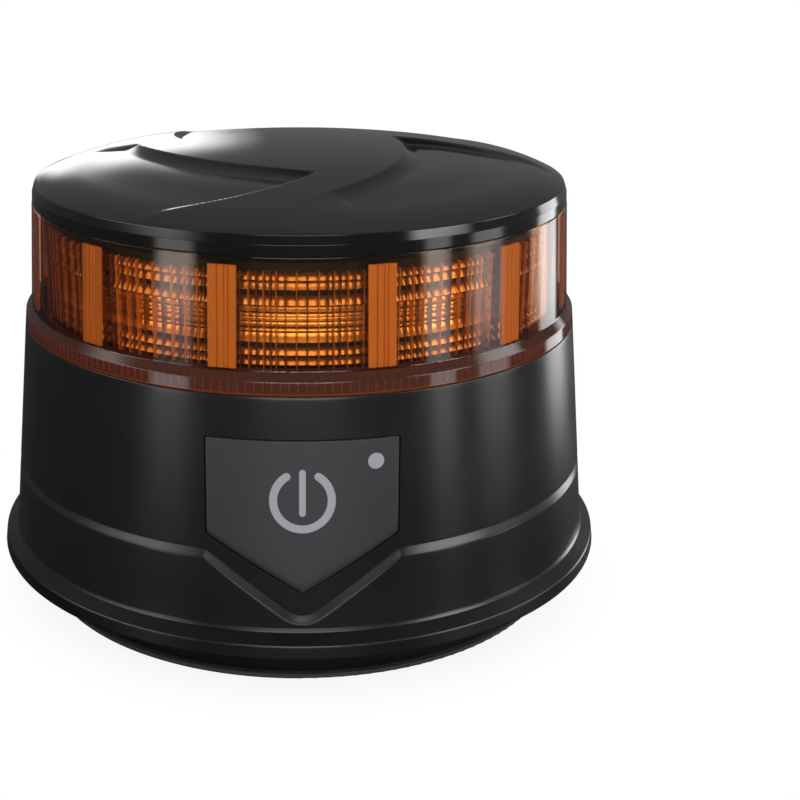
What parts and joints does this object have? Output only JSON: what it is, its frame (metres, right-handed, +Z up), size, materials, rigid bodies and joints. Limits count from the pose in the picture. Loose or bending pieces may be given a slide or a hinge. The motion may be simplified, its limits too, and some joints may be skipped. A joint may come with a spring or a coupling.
{
  "type": "magnetic warning light",
  "caption": "Round magnetic warning light: black tapered housing with a push button, amber ribbed lens ring and a domed black cap with a swirl of scoops.",
  "frame": {"origin": "middle of the rubber pad's underside, where the light stands on a steel surface", "axes": "+Z up along the light's axis, -Y towards the button, +X to the right seen from the button's side"},
  "size_m": [0.1458, 0.1458, 0.1049],
  "materials": {
    "pad_rubber": "matt moulded rubber",
    "black_plastic": "fine-textured black ABS",
    "cap_plastic": "satin black ABS",
    "button_grey": "dark grey silicone rubber",
    "pale_inlay": "pale grey translucent plastic",
    "flap_rubber": "matt black rubber",
    "seal_rubber": "black silicone rubber",
    "amber_lens": "clear glossy amber polycarbonate",
    "amber_optic": "glossy amber polycarbonate, fluted and ribbed",
    "reflector_bright": "metallised plastic",
    "heat_sink_metal": "plain extruded aluminium",
    "led_board": "white solder mask on aluminium-backed board",
    "led_white": "white package with yellow phosphor",
    "circuit_board": "green solder mask on glass-fibre board",
    "switch_black": "moulded black plastic",
    "tray_plastic": "moulded dark grey plastic",
    "cell_wrap": "shrink-wrapped cells",
    "wire_sleeve": "soft wire sleeve",
    "plated_steel": "nickel-plated steel",
    "magnet": "sintered magnet"
  },
  "bodies": {
    "light": {"base_pad": "pad_rubber", "base": "black_plastic", "magnet_cups": "plated_steel", "magnets": "magnet", "housing": "black_plastic", "control_board": "circuit_board", "board_screws": "plated_steel", "tact_switch": "switch_black", "status_led": "led_white", "control_chips": "switch_black", "radio_module": "circuit_board", "antenna": "switch_black", "battery_tray": "tray_plastic", "tray_screws": "plated_steel", "battery_cells": "cell_wrap", "battery_strap": "tray_plastic", "battery_leads": "wire_sleeve", "charge_board": "circuit_board", "charge_socket": "plated_steel", "charge_tongue": "switch_black", "flap_anchor": "flap_rubber", "heat_sink": "heat_sink_metal", "heat_sink_screws": "plated_steel", "led_boards": "led_board", "leds": "led_white", "reflector_ring": "reflector_bright", "upper_reflector": "reflector_bright", "optic_ring": "amber_optic", "deck_grommet": "flap_rubber", "led_leads": "wire_sleeve", "lens": "amber_lens", "cap": "cap_plastic", "housing_gasket": "seal_rubber", "lens_gasket": "seal_rubber", "cap_gasket": "seal_rubber", "base_screws": "plated_steel", "cap_screws": "plated_steel"},
    "power_button": {"button": "button_grey", "power_symbol": "pale_inlay", "status_light_pipe": "pale_inlay", "switch_plunger": "switch_black"},
    "charge_cover": {"charge_flap": "flap_rubber"}
  },
  "joints": [
    {"name": "button_press", "type": "slide", "parent": "light", "child": "power_button", "axis": [0, 1, 0], "range_m": [0, 0.001], "stiffness_N_per_m": 2000},
    {"name": "cover_swing", "type": "hinge", "parent": "light", "child": "charge_cover", "pos_m": [0, 0.0666, 0.05], "axis": [1, 0, 0], "range_deg": [0, 110]}
  ]
}
